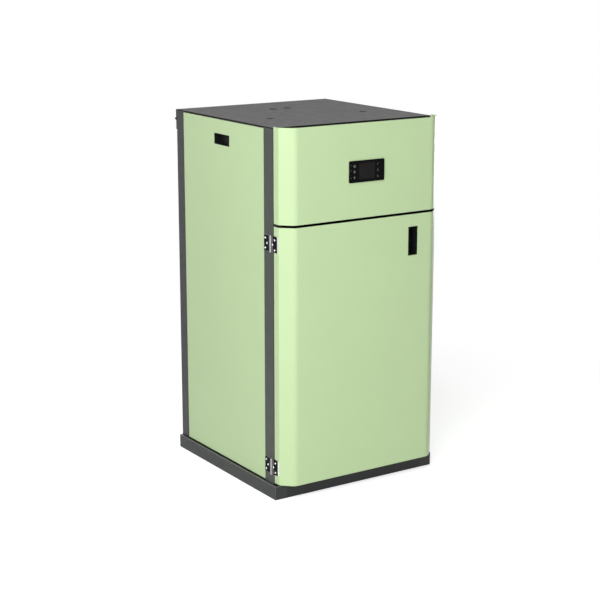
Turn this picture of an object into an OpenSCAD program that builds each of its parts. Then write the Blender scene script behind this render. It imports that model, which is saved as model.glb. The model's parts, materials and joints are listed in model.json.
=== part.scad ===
// Pellet boiler in a sheet steel cabinet: a front door over the fire door and
// the ash drawer, a fixed panel with the display above it, a hinged lid over
// the pellet hopper, and the flue and water connections at the rear.
// Millimetres. The origin is on the floor under the middle of the cabinet,
// with +X to the right, +Y to the rear and +Z up.

/* [Cabinet] */
// Width over the side panels
cab_w = 600; // [596:1:620]
// Depth from the front posts to the rear posts
cab_d = 600; // [596:1:620]
// Height of the top of the lid above the floor
lid_top = 1180; // [1176:1:1220]
// Thickness of the lid sheet
lid_t = 2.5; // [2:0.5:4]
// Distance the lid runs out behind the rear posts
lid_rear = 5; // [4:0.5:8]
// Height of the apron behind the lid, with the sheet
apron_h = 30; // [26:1:36]
// Thickness of the cover sheets
sheet_t = 1.5; // [1:0.1:2]
// Depth of the folded edges of the side panels
fold_d = 12; // [8:1:14]
// Gap above and below the side panels
panel_gap = 5; // [3:0.5:7]
// Visible width of the front posts
post_front_w = 52.5; // [45:0.5:58]
// Visible width of the rear posts
post_rear_w = 46; // [40:0.5:52]
// Width of the post flanges at the front and rear
post_flange = 35; // [30:1:38]
// Thickness of the post sheet
post_t = 2; // [1.5:0.1:3]
// Depth of the post lips beside the side panels
post_lip = 17; // [15:1:20]
// Depth of the two bars between the front posts
bar_d = 30; // [20:1:40]
// Height of the two bars between the front posts
bar_h = 42; // [36:1:48]

/* [Plinth] */
// Height of the plinth
plinth_h = 44; // [40:1:60]
// Distance the plinth runs out past the side panels
plinth_side = 9; // [9:0.5:12]
// Distance the plinth runs out in front of the posts
plinth_front = 22; // [15:1:30]
// Distance the plinth runs out behind the posts
plinth_rear = 4; // [2:0.5:8]
// Thickness of the plinth sheet
plinth_t = 2.5; // [2:0.5:4]
// Width of the plinth's top flange
plinth_flange = 60; // [50:1:80]
// Thickness of the floor pan
pan_t = 2; // [1.5:0.5:3]

/* [Front shells] */
// Distance from the front posts to the front face of the shells
shell_d = 67; // [64:1:76]
// Slit between the shells and the posts
shell_slit = 4; // [3:0.5:5]
// Depth of the bevelled corner of the shells
bevel_d = 36; // [30:1:40]
// Bend radius between bevel and front face
bend_front_r = 31; // [20:1:34]
// Bend radius between bevel and side return
bend_side_r = 6; // [4:0.5:10]
// Height of the lower edge of the door
door_z = 52; // [49:1:60]
// Height of the gap between door and upper panel
split_z = 884; // [878:1:890]
// Width of the gap between door and upper panel
split_gap = 6; // [4:0.5:8]
// Distance the upper panel stands above the lid
panel_over = 4; // [1:0.5:6]
// Distance of the door liner in front of the returns' rear edge
liner_in = 2; // [1.5:0.5:4]

/* [Door hinges] */
// Height of each hinge
hinge_h = 50; // [44:1:60]
// Centre of the lower hinge above the floor
hinge_low = 105; // [95:1:130]
// Centre of the upper hinge above the floor
hinge_high = 824.5; // [780:0.5:835]
// Distance of the hinge axis outside its mounting plane
hinge_off = 4.8; // [4.7:0.1:5.2]
// Distance of the hinge axis behind the front of the posts
hinge_back = 8; // [8:0.5:12]
// Width of the leaf on the post, from the axis
leaf_post_w = 42; // [36:1:43]
// Width of the leaf on the door, from the axis
leaf_door_w = 29; // [26:1:31]
// Thickness of the hinge leaves
leaf_t = 2; // [1.5:0.1:2.5]
// Radius of the hinge barrel
barrel_r = 4.2; // [4:0.1:4.4]
// Radius of the hinge pins
pin_r = 2; // [1.5:0.1:2.4]
// Number of knuckles
knuckles = 5; // [3:2:7]

/* [Pulls] */
// Width of the side finger pulls
pull_w = 94; // [80:1:110]
// Height of the side finger pulls
pull_h = 35; // [30:1:45]
// Depth of the side finger pulls
pull_d = 22; // [16:1:30]
// Centre of the side finger pulls above the floor
pull_z = 1111; // [1080:1:1120]
// Centre of the side finger pulls behind the middle of the cabinet
pull_y = 5; // [-20:1:20]
// Width of the handle cup in the door
cup_w = 36; // [32:1:44]
// Height of the handle cup in the door
cup_h = 93; // [80:1:110]
// Depth of the handle cup in the door
cup_d = 38; // [30:1:44]
// Centre of the handle cup to the right of the middle
cup_x = 185; // [170:1:192]
// Centre of the handle cup above the floor
cup_z = 793; // [760:1:810]
// Wall of the cups
cup_t = 1.5; // [1.2:0.1:2.5]

/* [Display] */
// Width of the display housing
disp_w = 133; // [120:1:150]
// Height of the display housing
disp_h = 68; // [62:1:80]
// Distance the display housing stands out
disp_out = 3; // [2:0.5:7]
// Depth of the display housing behind the panel
disp_back = 18; // [14:1:26]
// Centre of the display above the floor
disp_z = 1034.5; // [1020:0.5:1050]
// Width of the screen
screen_w = 60; // [50:1:64]
// Height of the screen
screen_h = 50; // [40:1:56]
// Distance of the key columns from the middle
key_x = 44; // [42:0.5:48]
// Pitch of the keys
key_pitch = 17.8; // [16:0.1:20]
// Width of a key
key_w = 14; // [10:0.5:16]
// Height of a key
key_h = 11; // [8:0.5:13]

/* [Lid hinges] */
// Length of each lid hinge
lid_hinge_l = 60; // [50:1:80]
// Width of each leaf of the lid hinges, from the axis
lid_leaf_w = 35; // [30:1:36]
// Distance of the lid hinges' outer ends from the side of the cabinet
lid_hinge_in = 1; // [0:1:40]

/* [Boiler] */
// Width of the boiler body
body_w = 430; // [420:2:440]
// Space between the boiler body and the rear posts
body_rear = 220; // [214:1:224]
// Height of the boiler body with its feet
body_h = 714; // [706:1:716]
// Distance of the boiler body behind the front of the posts
body_back = 68; // [64:1:72]
// Height of the feet of the boiler body
foot_h = 54; // [50:1:58]
// Wall between the fire side and the water jacket, and outside it
jacket_t = 4; // [3:0.5:5]
// Width of the firebox
fire_w = 280; // [270:2:290]
// Height of the firebox
fire_h = 340; // [330:1:350]
// Height of the firebox floor above the floor
fire_z = 300; // [296:1:304]
// Thickness of the rear wall of the boiler body
rear_wall = 60; // [56:1:64]
// Width of the ash drawer's chamber
ash_w = 276; // [260:2:290]
// Height of the ash drawer's chamber
ash_h = 118; // [110:1:124]
// Radius of the smoke tubes
tube_r = 16; // [15:0.5:18]
// Length of the turbulators in the smoke tubes
turb_l = 520; // [500:1:524]
// Radius of the igniter
igniter_r = 5; // [4:0.5:6]
// Distance the fire door reaches past the firebox opening
fire_lap = 25; // [20:1:30]
// Thickness of the fire door
fire_door_t = 26; // [22:1:30]
// Radius of the fire door's hinge pins
fire_pin_r = 5; // [4:0.5:6]
// Length of each knuckle of the fire door's hinges
fire_knuckle = 32; // [28:1:40]
// Radius of the spindle of the fire door's handle
spindle_r = 6; // [5:0.5:7]
// Outer radius of the burner pot
pot_r = 55; // [48:1:58]
// Height of the burner pot
pot_h = 70; // [60:1:80]
// Wall of the burner pot
pot_t = 5; // [4:0.5:7]
// Width of the plate that carries the burner pot
plate_w = 230; // [210:2:260]
// Depth of the plate that carries the burner pot
plate_d = 124; // [116:2:130]

/* [Smoke side] */
// Height of the smoke cover
cover_h = 55; // [54:1:58]
// Depth of the smoke cover
cover_d = 140; // [130:1:150]
// Height of the smoke box
smoke_h = 130; // [126:1:136]
// Depth of the smoke box
smoke_d = 60; // [50:1:64]
// Distance of the fan axis to the left of the middle
fan_x = 105; // [100:1:110]
// Inner radius of the fan housing
fan_r = 70; // [66:1:72]
// Depth of the fan housing
fan_d = 60; // [54:1:64]
// Radius of the opening between smoke box and fan
fan_inlet_r = 42; // [38:1:46]
// Radius of the fan's shaft
fan_shaft_r = 4; // [3:0.5:5]
// Number of blades of the fan wheel
blades = 12; // [8:1:14]
// Radius of the fan motor
fan_motor_r = 42; // [38:1:46]
// Length of the fan motor
fan_motor_l = 55; // [50:1:70]
// Radius of the flue spigot
flue_r = 40; // [38:1:42]
// Wall of the flue spigot
flue_t = 2; // [1.5:0.5:3]
// Distance of the flue spigot to the right of the middle
flue_x = 60; // [55:1:64]
// Height of the flue spigot's axis
flue_z = 165; // [160:1:170]
// Distance from the rear posts to the end of the flue spigot
flue_out = 72; // [60:1:80]

/* [Pellet feed] */
// Gap between the hopper and each side of the cabinet
hop_side = 85; // [83:1:90]
// Depth of the hopper
hop_d = 400; // [390:1:404]
// Gap between the hopper and the rear posts
hop_rear = 30; // [28:1:34]
// Height of the hopper's straight upper part
hop_upper = 155; // [150:1:160]
// Height of the hopper's funnel
hop_funnel = 220; // [210:1:226]
// Size of the hopper's outlet
hop_out = 90; // [80:1:100]
// Distance of the hopper's outlet to the left of the middle
hop_out_x = 90; // [86:1:96]
// Outer radius of the auger tube
auger_r = 36; // [34:1:40]
// Wall of the auger tube
auger_wall = 2.5; // [2:0.5:3]
// Gap between the auger's flight and its tube
auger_gap = 2.5; // [2:0.5:4]
// Radius of the auger's shaft
auger_shaft_r = 8; // [7:0.5:10]
// Pitch of the auger's flight
auger_pitch = 50; // [40:1:60]
// Space between the auger's flight and each end of its tube
auger_end = 10; // [8:1:14]
// Length of the auger's shaft in the gearbox
auger_stub = 20; // [16:1:24]
// Width of the drop chute
chute_w = 64; // [56:1:66]
// Height of the gearbox that turns the auger
gear_h = 70; // [64:1:76]
// Radius of the motor on the gearbox
gear_motor_r = 30; // [26:1:33]
// Length of the motor on the gearbox
gear_motor_l = 54; // [40:1:60]

/* [Water side] */
// Radius of the water pipes
pipe_r = 13.2; // [12:0.1:14]
// Bore radius of the water pipes
pipe_bore = 10.5; // [9:0.1:11]
// Distance of the water pipes inside the right side of the boiler body
pipe_side = 25; // [21:1:27]
// Height of the flow pipe
flow_z = 720; // [700:1:730]
// Height of the return pipe
return_z = 300; // [292:1:310]
// Distance from the rear posts to the pipe ends
pipe_out = 40; // [30:1:60]
// Radius of the expansion vessel
vessel_r = 115; // [100:1:118]
// Thickness of the expansion vessel
vessel_d = 90; // [80:1:94]
// Bend radius of the expansion vessel's edge
vessel_bend = 18; // [14:1:20]
// Length of the circulation pump along the pipe
pump_l = 90; // [80:1:100]
// Distance of the pump behind the boiler body
pump_back = 55; // [50:1:60]

/* [Mains inlet] */
// Distance of the inlet's middle from the right side of the cabinet
inlet_side = 100; // [90:1:110]
// Height of the inlet's centre
inlet_z = 1050; // [1020:1:1080]
// Width of the inlet's frame
inlet_w = 36; // [34:1:40]
// Height of the inlet's frame
inlet_h = 74; // [70:1:80]
// Lap of the inlet's frame on the rear panel
inlet_lap = 4; // [3:0.5:6]

/* [Control box] */
// Height of the control box
control_h = 180; // [150:1:200]
// Depth of the control box
control_d = 210; // [180:1:220]
// Gap between the hopper and the control box
control_gap = 17; // [15:1:20]

/* [Hidden] */
$fn = 48;
// Running clearance of shafts and pins, and clearance between moving bodies
run = 0.05;
gap = 0.3;
e = 1;

sx = cab_w / 2;
fy = -cab_d / 2;
ry = cab_d / 2;
face_y = fy - shell_d;
slit_y = fy - shell_slit;
pan_z = plinth_h + pan_t;
lid_under = lid_top - lid_t;
post_top = lid_under - gap;
side_z0 = plinth_h + panel_gap;
side_z1 = lid_top - panel_gap - 1;
side_y0 = fy + post_front_w + 2 * gap;
side_y1 = ry - post_rear_w - 2 * gap;
deck_z = lid_top - 15;
deck_t = 2;
rear_fold = 15;
door_top = split_z - split_gap / 2;
panel_z = split_z + split_gap / 2;
panel_top = lid_top + panel_over;
liner_y = slit_y - liner_in;
bar_x = sx - post_flange;
bar_z = split_z - 28;
hinge_x = -sx - hinge_off;
hinge_y = fy + hinge_back;
lid_axis_y = ry + lid_rear + hinge_off;
lid_axis_z = lid_top - apron_h - 1.5;

body_y0 = fy + body_back;
body_y1 = ry - body_rear;
body_z0 = pan_z + foot_h;
body_z1 = pan_z + body_h;
fire_y1 = body_y1 - rear_wall;
fire_top = fire_z + fire_h;
ash_z0 = body_z0 + 10;
tube_y = body_y1 - 30;
tube_xs = [-150, -85, 85, 150];
fdoor_y1 = body_y0 - 4;
fdoor_y0 = fdoor_y1 - fire_door_t;
fdoor_x = fire_w / 2 + fire_lap;
fhinge_x = -fdoor_x - 25;
fhinge_y = fdoor_y0 + fire_door_t / 2;
fhinge_zs = [fire_z + 40, fire_top - 90];
fgrip_x = fire_w / 2;
fgrip_z = fire_z + fire_h / 2;
pot_y = fire_y1 - 70;
igniter_z = fire_z + 32;

cover_y0 = body_y1 - cover_d;
shaft_y = body_y1 - 80;
shaft_z = body_z1 + 16;
shaft_r = 5;
beam_z = shaft_z + 8;
cover_x = body_w / 2 - 15;
lever_x = body_w / 2 + 2;
smoke_x = body_w / 2 - 25;
smoke_y1 = body_y1 + smoke_d;
fan_y1 = smoke_y1 + fan_d;
fan_z = 175;

hop_w = cab_w - 2 * hop_side;
hop_z1 = deck_z;
hop_y1 = ry - hop_rear;
hop_y0 = hop_y1 - hop_d;
hop_z2 = hop_z1 - hop_upper;
hop_z3 = hop_z2 - hop_funnel;
hop_z4 = hop_z3 - 40;
auger_y = hop_y1 - 90;
auger_z = hop_z4 - 14 - auger_r;
auger_x0 = -hop_out_x - 110;
auger_x1 = chute_w / 2 + 13;
chute_top = auger_z - auger_r * 0.55;
chute_low = auger_z - 100;
pipe_x = body_w / 2 - pipe_side;
pump_y0 = body_y1 + pump_back;
pump_y1 = pump_y0 + pump_l;
inlet_x = sx - inlet_side;
rocker_z = inlet_z - 20;
rocker_r = 1.5;
vessel_x = bar_x - vessel_r - 3;
vessel_z = return_z + 200;

function unit(a) = a / norm(a);
function turn(p, a) = [p.x * cos(a) - p.y * sin(a), p.x * sin(a) + p.y * cos(a)];

// Points of a bend of radius r at corner v of a folded sheet
function bend(p, v, n, r, k = 8) =
    let (a = unit(p - v), b = unit(n - v), h = acos(a * b) / 2,
         c = v + unit(a + b) * r / sin(h), s = v + a * r / tan(h) - c,
         w = sign(cross(s, v + b * r / tan(h) - c)) * (180 - 2 * h))
    [for (i = [0:k]) c + turn(s, w * i / k)];

// Outline of a front shell, t inside its outer face
function shell_line(t) =
    let (q = t * (sqrt(2) - 1),
         a = [-sx + t, slit_y], b = [-sx + t, face_y + bevel_d + q],
         c = [-sx + bevel_d + q, face_y + t],
         d = [-c.x, c.y], f = [-b.x, b.y], g = [-a.x, a.y])
    concat([a], bend(a, b, c, bend_side_r - t), bend(b, c, d, bend_front_r - t),
           bend(c, d, f, bend_front_r - t), bend(d, f, g, bend_side_r - t), [g]);

function flip(l) = [for (i = [len(l) - 1:-1:0]) l[i]];

// Extrude a drawing of X and Z from y0 to y1
module yslab(y0, y1) {
    translate([0, y1, 0]) rotate([90, 0, 0]) linear_extrude(y1 - y0) children();
}

// Extrude a drawing of Y and Z from x0 to x1
module xslab(x0, x1) {
    translate([x0, 0, 0]) rotate([90, 0, 90]) linear_extrude(x1 - x0) children();
}

module box(a, b) {
    translate(a) cube(b - a);
}

module round_rect(w, h, r) {
    square([w - 2 * r, h], center = true);
    square([w, h - 2 * r], center = true);
    for (x = [-1, 1], z = [-1, 1])
        translate([x * (w / 2 - r), z * (h / 2 - r)]) circle(r);
}

module ycyl(x, z, y0, y1, r) {
    translate([x, y0, z]) rotate([-90, 0, 0]) cylinder(h = y1 - y0, r = r);
}

module xcyl(y, z, x0, x1, r) {
    translate([x0, y, z]) rotate([0, 90, 0]) cylinder(h = x1 - x0, r = r);
}

// Solid swept through rings of as many points each, from the first to the last
module sweep(rings) {
    n = len(rings[0]);
    m = len(rings) - 1;
    polyhedron([for (r = rings) each r],
        concat([[for (i = [n - 1:-1:0]) i]], [[for (i = [0:n - 1]) m * n + i]],
               [for (j = [0:m - 1], i = [0:n - 1])
                   let (k = (i + 1) % n) each [[j * n + i, j * n + k, j * n + n + k],
                                               [j * n + i, j * n + n + k, j * n + n + i]]]));
}

// Cabinet frame

module plinth() {
    color([0.30, 0.32, 0.32]) difference() {
        box([-sx - plinth_side, fy - plinth_front, 0],
            [sx + plinth_side, ry + plinth_rear, plinth_h]);
        box([-sx - plinth_side + plinth_t, fy - plinth_front + plinth_t, -e],
            [sx + plinth_side - plinth_t, ry + plinth_rear - plinth_t,
             plinth_h - plinth_t]);
        box([-sx + plinth_flange, fy + plinth_flange, 0],
            [sx - plinth_flange, ry - plinth_flange, plinth_h + e]);
    }
}

module floor_pan() {
    color([0.45, 0.46, 0.47]) difference() {
        box([-bar_x, fy + post_t + gap, plinth_h], [bar_x, ry - post_t - gap, pan_z]);
        for (i = [0:4])
            box([-150, -60 + i * 30, 0], [150, -48 + i * 30, pan_z + e]);
    }
}

// One post: its outer corner at the origin, its faces along +X and +Y
module post_shape(w) {
    square([post_t, w]);
    square([post_flange, post_t]);
    translate([0, w - post_t]) square([post_lip, post_t]);
}

module post(sign_x, sign_y, w) {
    color([0.34, 0.35, 0.36]) translate([sign_x * sx, sign_y * ry, plinth_h])
        scale([-sign_x, -sign_y, 1]) linear_extrude(post_top - plinth_h) post_shape(w);
}

module front_post_left() {
    post(-1, -1, post_front_w);
}

module front_post_right() {
    post(1, -1, post_front_w);
}

module rear_post_left() {
    post(-1, 1, post_rear_w);
}

module rear_post_right() {
    post(1, 1, post_rear_w);
}

module bar_shape() {
    difference() {
        translate([fy, 0]) square([bar_d, bar_h]);
        translate([fy + post_t, post_t]) square([bar_d, bar_h - 2 * post_t]);
    }
}

module front_crossbars() {
    color([0.34, 0.35, 0.36]) for (z = [bar_z, deck_z - bar_h])
        translate([0, 0, z]) xslab(-bar_x, bar_x) bar_shape();
}

module rear_panel() {
    color([0.36, 0.37, 0.38]) difference() {
        union() {
            box([-bar_x, ry - sheet_t, side_z0], [bar_x, ry, deck_z]);
            box([-bar_x, ry - rear_fold, deck_z - sheet_t], [bar_x, ry, deck_z]);
            for (x = [-bar_x, bar_x - sheet_t])
                box([x, ry - rear_fold, side_z0], [x + sheet_t, ry, deck_z]);
        }
        ycyl(flue_x, flue_z, ry - 2 * sheet_t, ry + e, flue_r + 2);
        for (z = [flow_z, return_z])
            ycyl(pipe_x, z, ry - 2 * sheet_t, ry + e, pipe_r + 2.5);
        translate([inlet_x, 0, inlet_z]) yslab(ry - 2 * sheet_t, ry + e)
            square([inlet_w - 2 * inlet_lap + gap, inlet_h - 2 * inlet_lap + gap], center = true);
        for (i = [0:7])
            translate([-170, 0, 330 + i * 22]) yslab(ry - 2 * sheet_t, ry + e)
                round_rect(110, 8, 3.5);
    }
}

module top_deck() {
    color([0.45, 0.46, 0.47]) difference() {
        box([-sx + fold_d + 3 * sheet_t, fy + post_t, deck_z],
            [sx - fold_d - 3 * sheet_t, ry - post_t, deck_z + deck_t]);
        for (x = [-1, 1]) {
            translate([x > 0 ? bar_x : -sx, fy, deck_z - e]) cube([post_flange, post_front_w, 5]);
            translate([x > 0 ? bar_x : -sx, ry - post_rear_w, deck_z - e])
                cube([post_flange, post_rear_w, 5]);
        }
        box([-hop_w / 2 + sheet_t, hop_y0 + sheet_t, deck_z - e],
            [hop_w / 2 - sheet_t, hop_y1 - sheet_t, deck_z + 5]);
    }
}

// Side panels and their pulls, drawn on the left side

module side_panel(s) {
    color([0.70, 0.78, 0.56]) scale([s, 1, 1]) difference() {
        box([sx - fold_d, side_y0, side_z0], [sx, side_y1, side_z1]);
        box([sx - fold_d - e, side_y0 + sheet_t, side_z0 + sheet_t],
            [sx - sheet_t, side_y1 - sheet_t, side_z1 - sheet_t]);
        translate([0, pull_y, pull_z]) xslab(sx - 2 * sheet_t, sx + e)
            square([pull_w + 2 * gap, pull_h + 2 * gap], center = true);
    }
}

module side_panel_left() {
    side_panel(-1);
}

module side_panel_right() {
    side_panel(1);
}

module finger_pull(s) {
    color([0.05, 0.06, 0.06]) scale([s, 1, 1]) translate([0, pull_y, pull_z]) difference() {
        union() {
            xslab(sx - pull_d, sx) square([pull_w, pull_h], center = true);
            xslab(sx - sheet_t - cup_t, sx - sheet_t)
                square([pull_w + 12, pull_h + 12], center = true);
        }
        xslab(sx - pull_d + cup_t, sx + e)
            square([pull_w - 2 * cup_t, pull_h - 2 * cup_t], center = true);
    }
}

module finger_pull_left() {
    finger_pull(-1);
}

module finger_pull_right() {
    finger_pull(1);
}

// Lid

module top_lid() {
    color([0.43, 0.44, 0.44]) {
        box([-sx, fy, lid_under], [sx, ry + lid_rear, lid_top]);
        box([-sx, ry + lid_rear - lid_t, lid_top - apron_h], [sx, ry + lid_rear, lid_under]);
        difference() {
            box([-bar_x + 10, fy + 15, lid_under - 8], [bar_x - 10, ry - 15, lid_under]);
            box([-bar_x + 12, fy + 17, lid_under - 9], [bar_x - 12, ry - 17, lid_under + e]);
        }
    }
}

module lid_seal() {
    color([0.06, 0.06, 0.06]) translate([0, (hop_y0 + hop_y1) / 2, deck_z + deck_t])
        linear_extrude(post_top - deck_z - deck_t) difference() {
            round_rect(hop_w + 30, hop_d + 20, 8);
            round_rect(hop_w + 6, hop_d + 4, 3);
        }
}

// Butt hinge: axis along Z at the origin, mounting plane at x = hinge_off.
// The leaf of side 1 lies along +Y and carries the end knuckles.
module leaf(side, h, w) {
    k = h / knuckles;
    mine = side > 0 ? 0 : 1;
    difference() {
        union() {
            difference() {
                translate([hinge_off - leaf_t, side > 0 ? gap : -w, 0])
                    cube([leaf_t, w - gap, h]);
                for (i = [1 - mine:2:knuckles - 1])
                    translate([0, 0, i * k - gap]) cylinder(h = k + 2 * gap, r = barrel_r + 2 * gap);
            }
            for (i = [mine:2:knuckles - 1]) {
                low = i == 0 ? 0 : gap / 2;
                high = i == knuckles - 1 ? 0 : gap / 2;
                translate([0, 0, i * k + low]) cylinder(h = k - low - high, r = barrel_r);
            }
        }
        translate([0, 0, -e]) cylinder(h = h + 2 * e, r = pin_r + run);
    }
}

module hinge_pin(h) {
    translate([0, 0, -1.2]) cylinder(h = h + 2.4, r = pin_r);
    for (z = [-1.2, h])
        translate([0, 0, z]) cylinder(h = 1.2, r = barrel_r - 1);
}

module at_door_hinges() {
    for (z = [hinge_low, hinge_high])
        translate([hinge_x, hinge_y, z - hinge_h / 2]) children();
}

module at_lid_hinges() {
    for (x = [-sx + lid_hinge_in, sx - lid_hinge_in - lid_hinge_l])
        translate([x, lid_axis_y, lid_axis_z])
            multmatrix([[0, 0, 1, 0], [-1, 0, 0, 0], [0, -1, 0, 0]]) children();
}

module door_hinge_fixed() {
    color([0.16, 0.17, 0.17]) at_door_hinges() leaf(1, hinge_h, leaf_post_w);
}

module door_hinge_moving() {
    color([0.16, 0.17, 0.17]) at_door_hinges() leaf(-1, hinge_h, leaf_door_w);
}

module door_hinge_pins() {
    color([0.75, 0.75, 0.75]) at_door_hinges() hinge_pin(hinge_h);
}

module lid_hinge_brackets() {
    color([0.20, 0.21, 0.21]) at_lid_hinges() {
        leaf(1, lid_hinge_l, lid_leaf_w);
        hinge_pin(lid_hinge_l);
        translate([hinge_off, 6, 0]) cube([lid_rear, lid_leaf_w - 6, lid_hinge_l]);
    }
}

module lid_hinge_straps() {
    color([0.20, 0.21, 0.21]) at_lid_hinges() intersection() {
        leaf(-1, lid_hinge_l, lid_leaf_w);
        translate([-10, -26, -e]) cube([30, 40, lid_hinge_l + 2 * e]);
    }
}

// Front shells

module front_shell(z0, z1) {
    translate([0, 0, z0]) linear_extrude(z1 - z0)
        polygon(concat(shell_line(0), flip(shell_line(sheet_t))));
}

module upper_front_panel() {
    color([0.75, 0.83, 0.65]) difference() {
        front_shell(panel_z, panel_top);
        translate([0, 0, disp_z]) yslab(face_y - e, face_y + 2 * sheet_t)
            square([disp_w - 8, disp_h - 8], center = true);
    }
}

module panel_brackets() {
    color([0.45, 0.46, 0.47]) for (s = [-1, 1]) scale([s, 1, 1])
        translate([bar_x - 40, 0, panel_z + 4]) linear_extrude(deck_z - panel_z - 4) difference() {
            translate([0, face_y + sheet_t]) square([25, fy - face_y - sheet_t]);
            translate([1.5, face_y + sheet_t + 1.5]) square([22, shell_d]);
        }
}

module door_shell() {
    color([0.75, 0.83, 0.65]) difference() {
        front_shell(door_z, door_top);
        translate([cup_x, 0, cup_z]) yslab(face_y - e, face_y + 2 * sheet_t)
            square([cup_w + 2 * gap, cup_h + 2 * gap], center = true);
    }
}

module door_liner() {
    color([0.36, 0.37, 0.38]) {
        box([-sx + sheet_t, liner_y - sheet_t, door_z + 6], [sx - sheet_t, liner_y, door_top - 6]);
        for (s = [-1, 1]) scale([s, 1, 1])
            translate([80, 0, door_z + 20]) linear_extrude(door_top - door_z - 40) difference() {
                translate([0, face_y + sheet_t]) square([40, liner_y - face_y - 2 * sheet_t]);
                translate([1.5, face_y + sheet_t + 1.5]) square([37, shell_d]);
            }
    }
}

module door_handle_cup() {
    color([0.05, 0.06, 0.06]) translate([cup_x, 0, cup_z]) difference() {
        union() {
            yslab(face_y, face_y + cup_d) square([cup_w, cup_h], center = true);
            yslab(face_y + sheet_t, face_y + sheet_t + cup_t)
                square([cup_w + 12, cup_h + 12], center = true);
        }
        yslab(face_y - e, face_y + cup_d - cup_t)
            square([cup_w - 2 * cup_t, cup_h - 2 * cup_t], center = true);
    }
}

module door_magnet() {
    color([0.12, 0.12, 0.12])
        box([bar_x - 60, liner_y + gap, bar_z + 2], [bar_x - 20, fy, bar_z + 16]);
}

// Display

module key_seats(c, y0, y1) {
    for (x = [-key_x, key_x], i = [-1:1])
        translate([x, 0, disp_z + i * key_pitch]) yslab(y0, y1)
            round_rect(key_w + 2 * c, key_h + 2 * c, 2);
}

module display_bezel() {
    color([0.07, 0.06, 0.07]) difference() {
        union() {
            translate([0, 0, disp_z]) yslab(face_y - disp_out, face_y)
                round_rect(disp_w, disp_h, 4);
            translate([0, 0, disp_z]) yslab(face_y, face_y + disp_back)
                square([disp_w - 8 - gap, disp_h - 8 - gap], center = true);
        }
        translate([0, 0, disp_z]) yslab(face_y - disp_out - e, face_y - disp_out + 2)
            square([screen_w, screen_h], center = true);
        key_seats(gap, face_y - disp_out - e, face_y - disp_out + 7);
    }
}

module display_screen() {
    color([0.14, 0.13, 0.15]) translate([0, 0, disp_z])
        yslab(face_y - disp_out + 0.3, face_y - disp_out + 2)
            square([screen_w, screen_h], center = true);
}

module display_key(column, row) {
    color([0.10, 0.09, 0.10]) translate([column * key_x, 0, disp_z + row * key_pitch])
        yslab(face_y - disp_out, face_y - disp_out + 5) round_rect(key_w, key_h, 2);
}

module key_1() {
    display_key(-1, 1);
}

module key_2() {
    display_key(-1, 0);
}

module key_3() {
    display_key(-1, -1);
}

module key_4() {
    display_key(1, 1);
}

module key_5() {
    display_key(1, 0);
}

module key_6() {
    display_key(1, -1);
}

// Boiler body with the firebox, the ash chamber and the smoke tubes

// Side view of the drop chute, grown by c on each side
function chute_line(c, y0) =
    let (w = chute_w / 2 + c, k = auger_y - w, m = auger_y + w,
         low = chute_low - c * (sqrt(2) - 1), r = 2 * w * (sqrt(2) - 1))
    [[k, chute_top], [m, chute_top], [m, low], [y0, low - (m - y0)],
     [y0, low - (m - y0) + 2 * w * sqrt(2)], [k, low - 2 * w + 2 * w * sqrt(2)]];

// Water space at both sides of the firebox, joined above it, open to the pipes
module jacket() {
    t = jacket_t;
    for (x = [-body_w / 2 + t, fire_w / 2 + t])
        box([x, body_y0 + t, body_z0 + t],
            [x + body_w / 2 - fire_w / 2 - 2 * t, tube_y - tube_r - t - 1, body_z1 - t]);
    box([-fire_w / 2 - t - e, body_y0 + t, fire_top + t],
        [fire_w / 2 + t + e, fire_y1 - 60 - t, body_z1 - t]);
    for (z = [flow_z, return_z])
        ycyl(pipe_x, z, tube_y - tube_r - t - 2, body_y1 + e, pipe_bore);
}

module boiler_body() {
    color([0.22, 0.22, 0.23]) {
        difference() {
            box([-body_w / 2, body_y0, body_z0], [body_w / 2, body_y1, body_z1]);
            box([-fire_w / 2, body_y0 - e, fire_z], [fire_w / 2, fire_y1, fire_top]);
            box([-ash_w / 2, body_y0 - e, ash_z0], [ash_w / 2, fire_y1, ash_z0 + ash_h]);
            box([-100, pot_y - 50, ash_z0 + ash_h - e], [100, pot_y + 50, fire_z + e]);
            box([-fire_w / 2, fire_y1 - 60, fire_top - e], [fire_w / 2, fire_y1 - 20, body_z1 + e]);
            for (x = tube_xs)
                translate([x, tube_y, ash_z0 + 40]) cylinder(h = body_z1, r = tube_r);
            box([-tube_xs[3] - tube_r - 4, tube_y - tube_r, ash_z0 + 10],
                [tube_xs[3] + tube_r + 4, body_y1 + e, ash_z0 + smoke_h - 10]);
            jacket();
            xslab(-chute_w / 2 - gap, chute_w / 2 + gap) polygon(chute_line(gap, fire_y1 - 20));
            ycyl(0, igniter_z, fire_y1 - e, body_y1 + e, igniter_r + gap);
        }
        for (x = [-1, 1])
            box([x * (body_w / 2 - 35) - 25, body_y0 + 20, pan_z],
                [x * (body_w / 2 - 35) + 25, body_y1 - 20, body_z0]);
        for (z = fhinge_zs) {
            box([fhinge_x - 10, fhinge_y - 10, z - 12], [fhinge_x + 10, body_y0, z]);
            translate([fhinge_x, fhinge_y, z - e]) cylinder(h = fire_knuckle + 2, r = fire_pin_r);
        }
    }
}

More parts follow.
